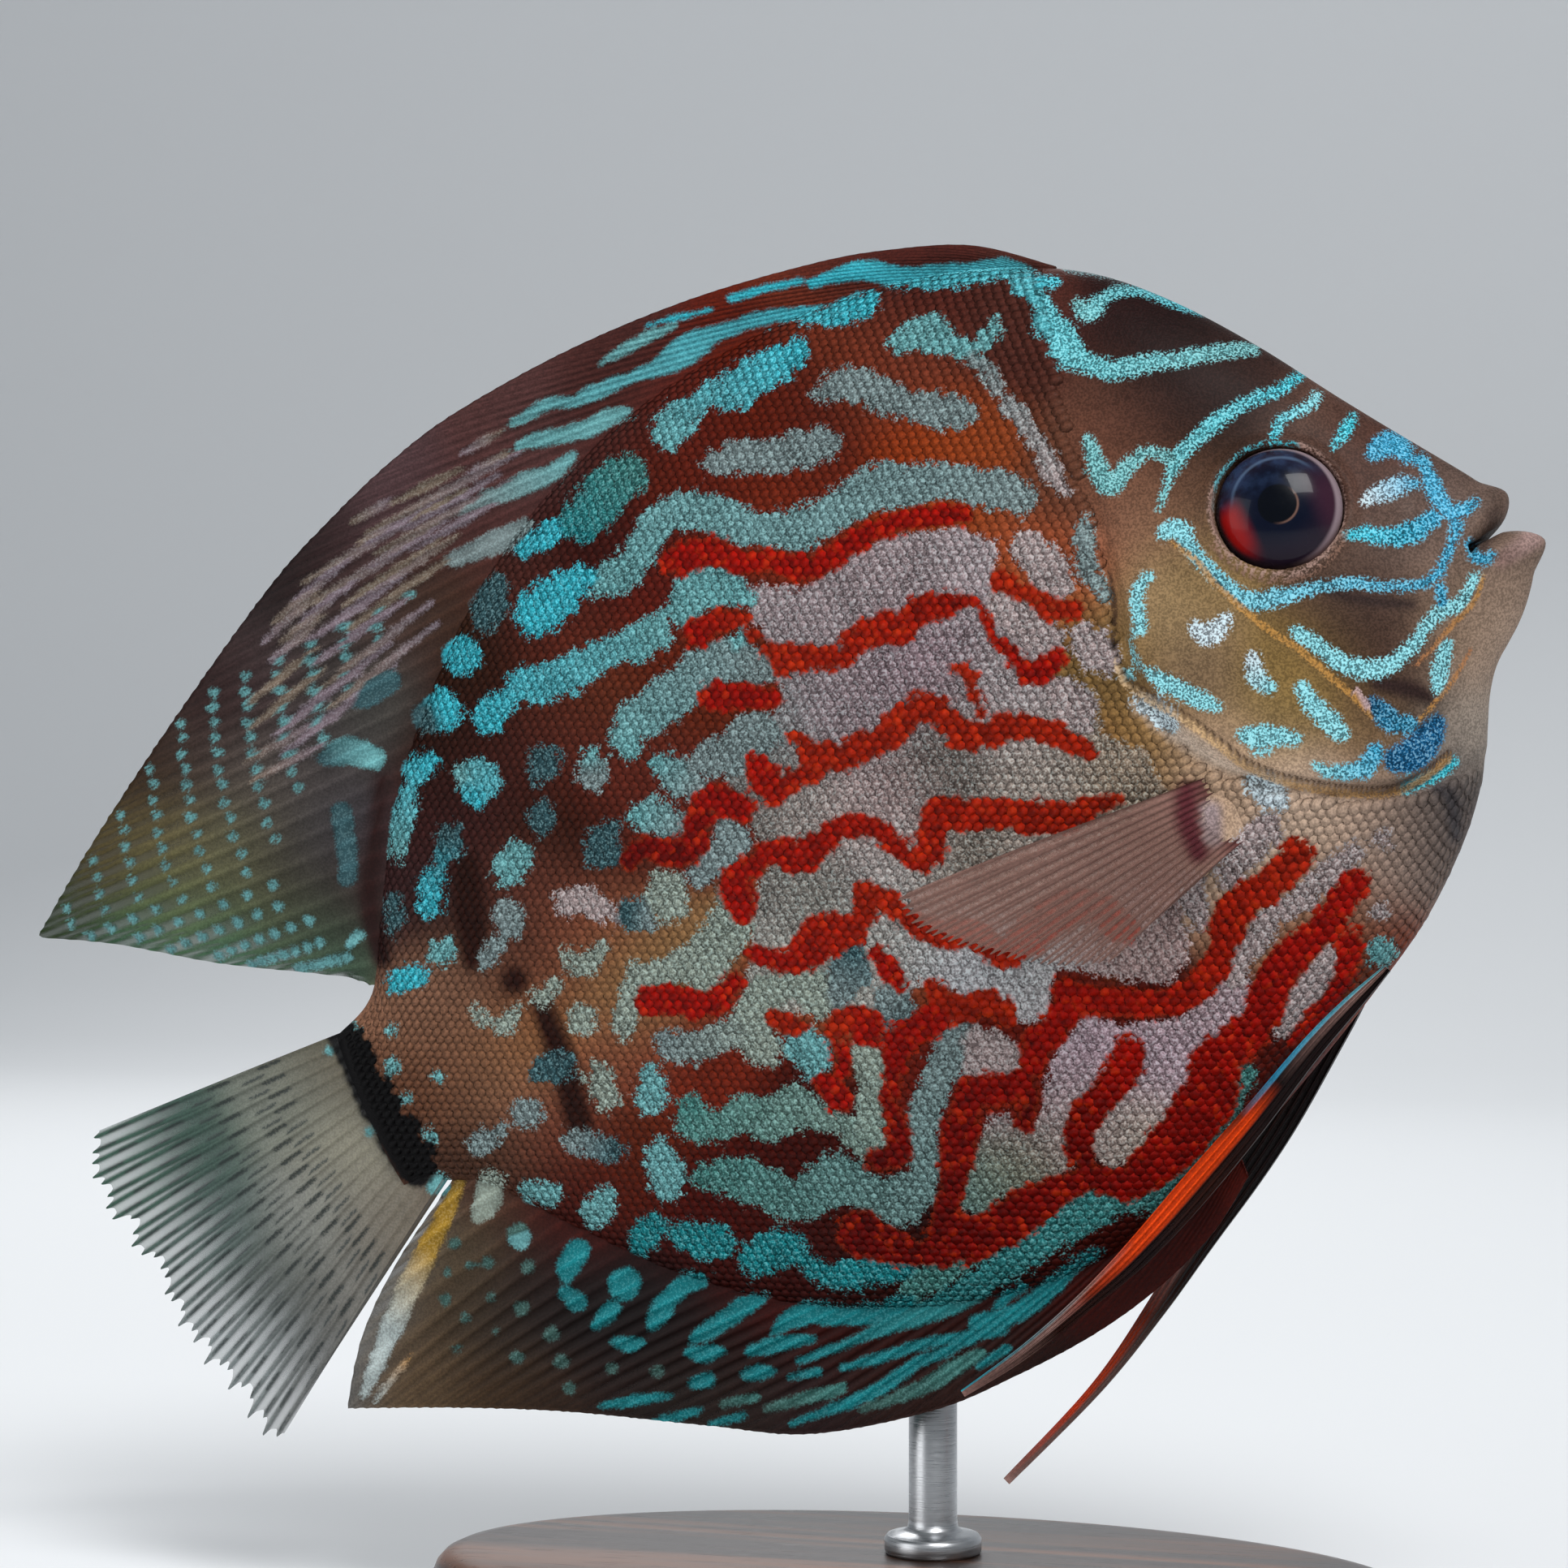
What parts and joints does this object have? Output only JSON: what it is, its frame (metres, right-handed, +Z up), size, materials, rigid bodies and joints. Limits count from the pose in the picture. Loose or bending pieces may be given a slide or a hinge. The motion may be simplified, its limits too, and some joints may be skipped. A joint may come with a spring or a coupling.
{
  "type": "discus fish model",
  "caption": "Life-size still model of a turquoise discus fish, nose raised, held up by a rod on a flat oval base.",
  "frame": {"origin": "centre of the underside of the stand's base", "axes": "+X the way the fish faces, seen from above; +Y the fish's left; +Z up"},
  "size_m": [0.1578, 0.06, 0.1363],
  "materials": {
    "head_skin": "moist scaled skin",
    "skin": "moist scaled skin",
    "eye": "clear and wet",
    "dark_fin": "thin soft fin",
    "clear_fin": "thin translucent fin",
    "pelvic_fin": "thin soft fin",
    "stand_wood": "satin",
    "stand_steel": "satin"
  },
  "bodies": {
    "root": {"head": "head_skin", "torso": "skin", "tail_stalk": "skin", "eye_right": "eye", "eye_left": "eye", "dorsal_fin": "dark_fin", "anal_fin": "dark_fin", "caudal_fin": "clear_fin", "pectoral_fin_right": "clear_fin", "pectoral_fin_left": "clear_fin", "pelvic_fin_right": "pelvic_fin", "pelvic_fin_left": "pelvic_fin", "stand_base": "stand_wood", "stand_rod": "stand_steel"}
  },
  "joints": []
}
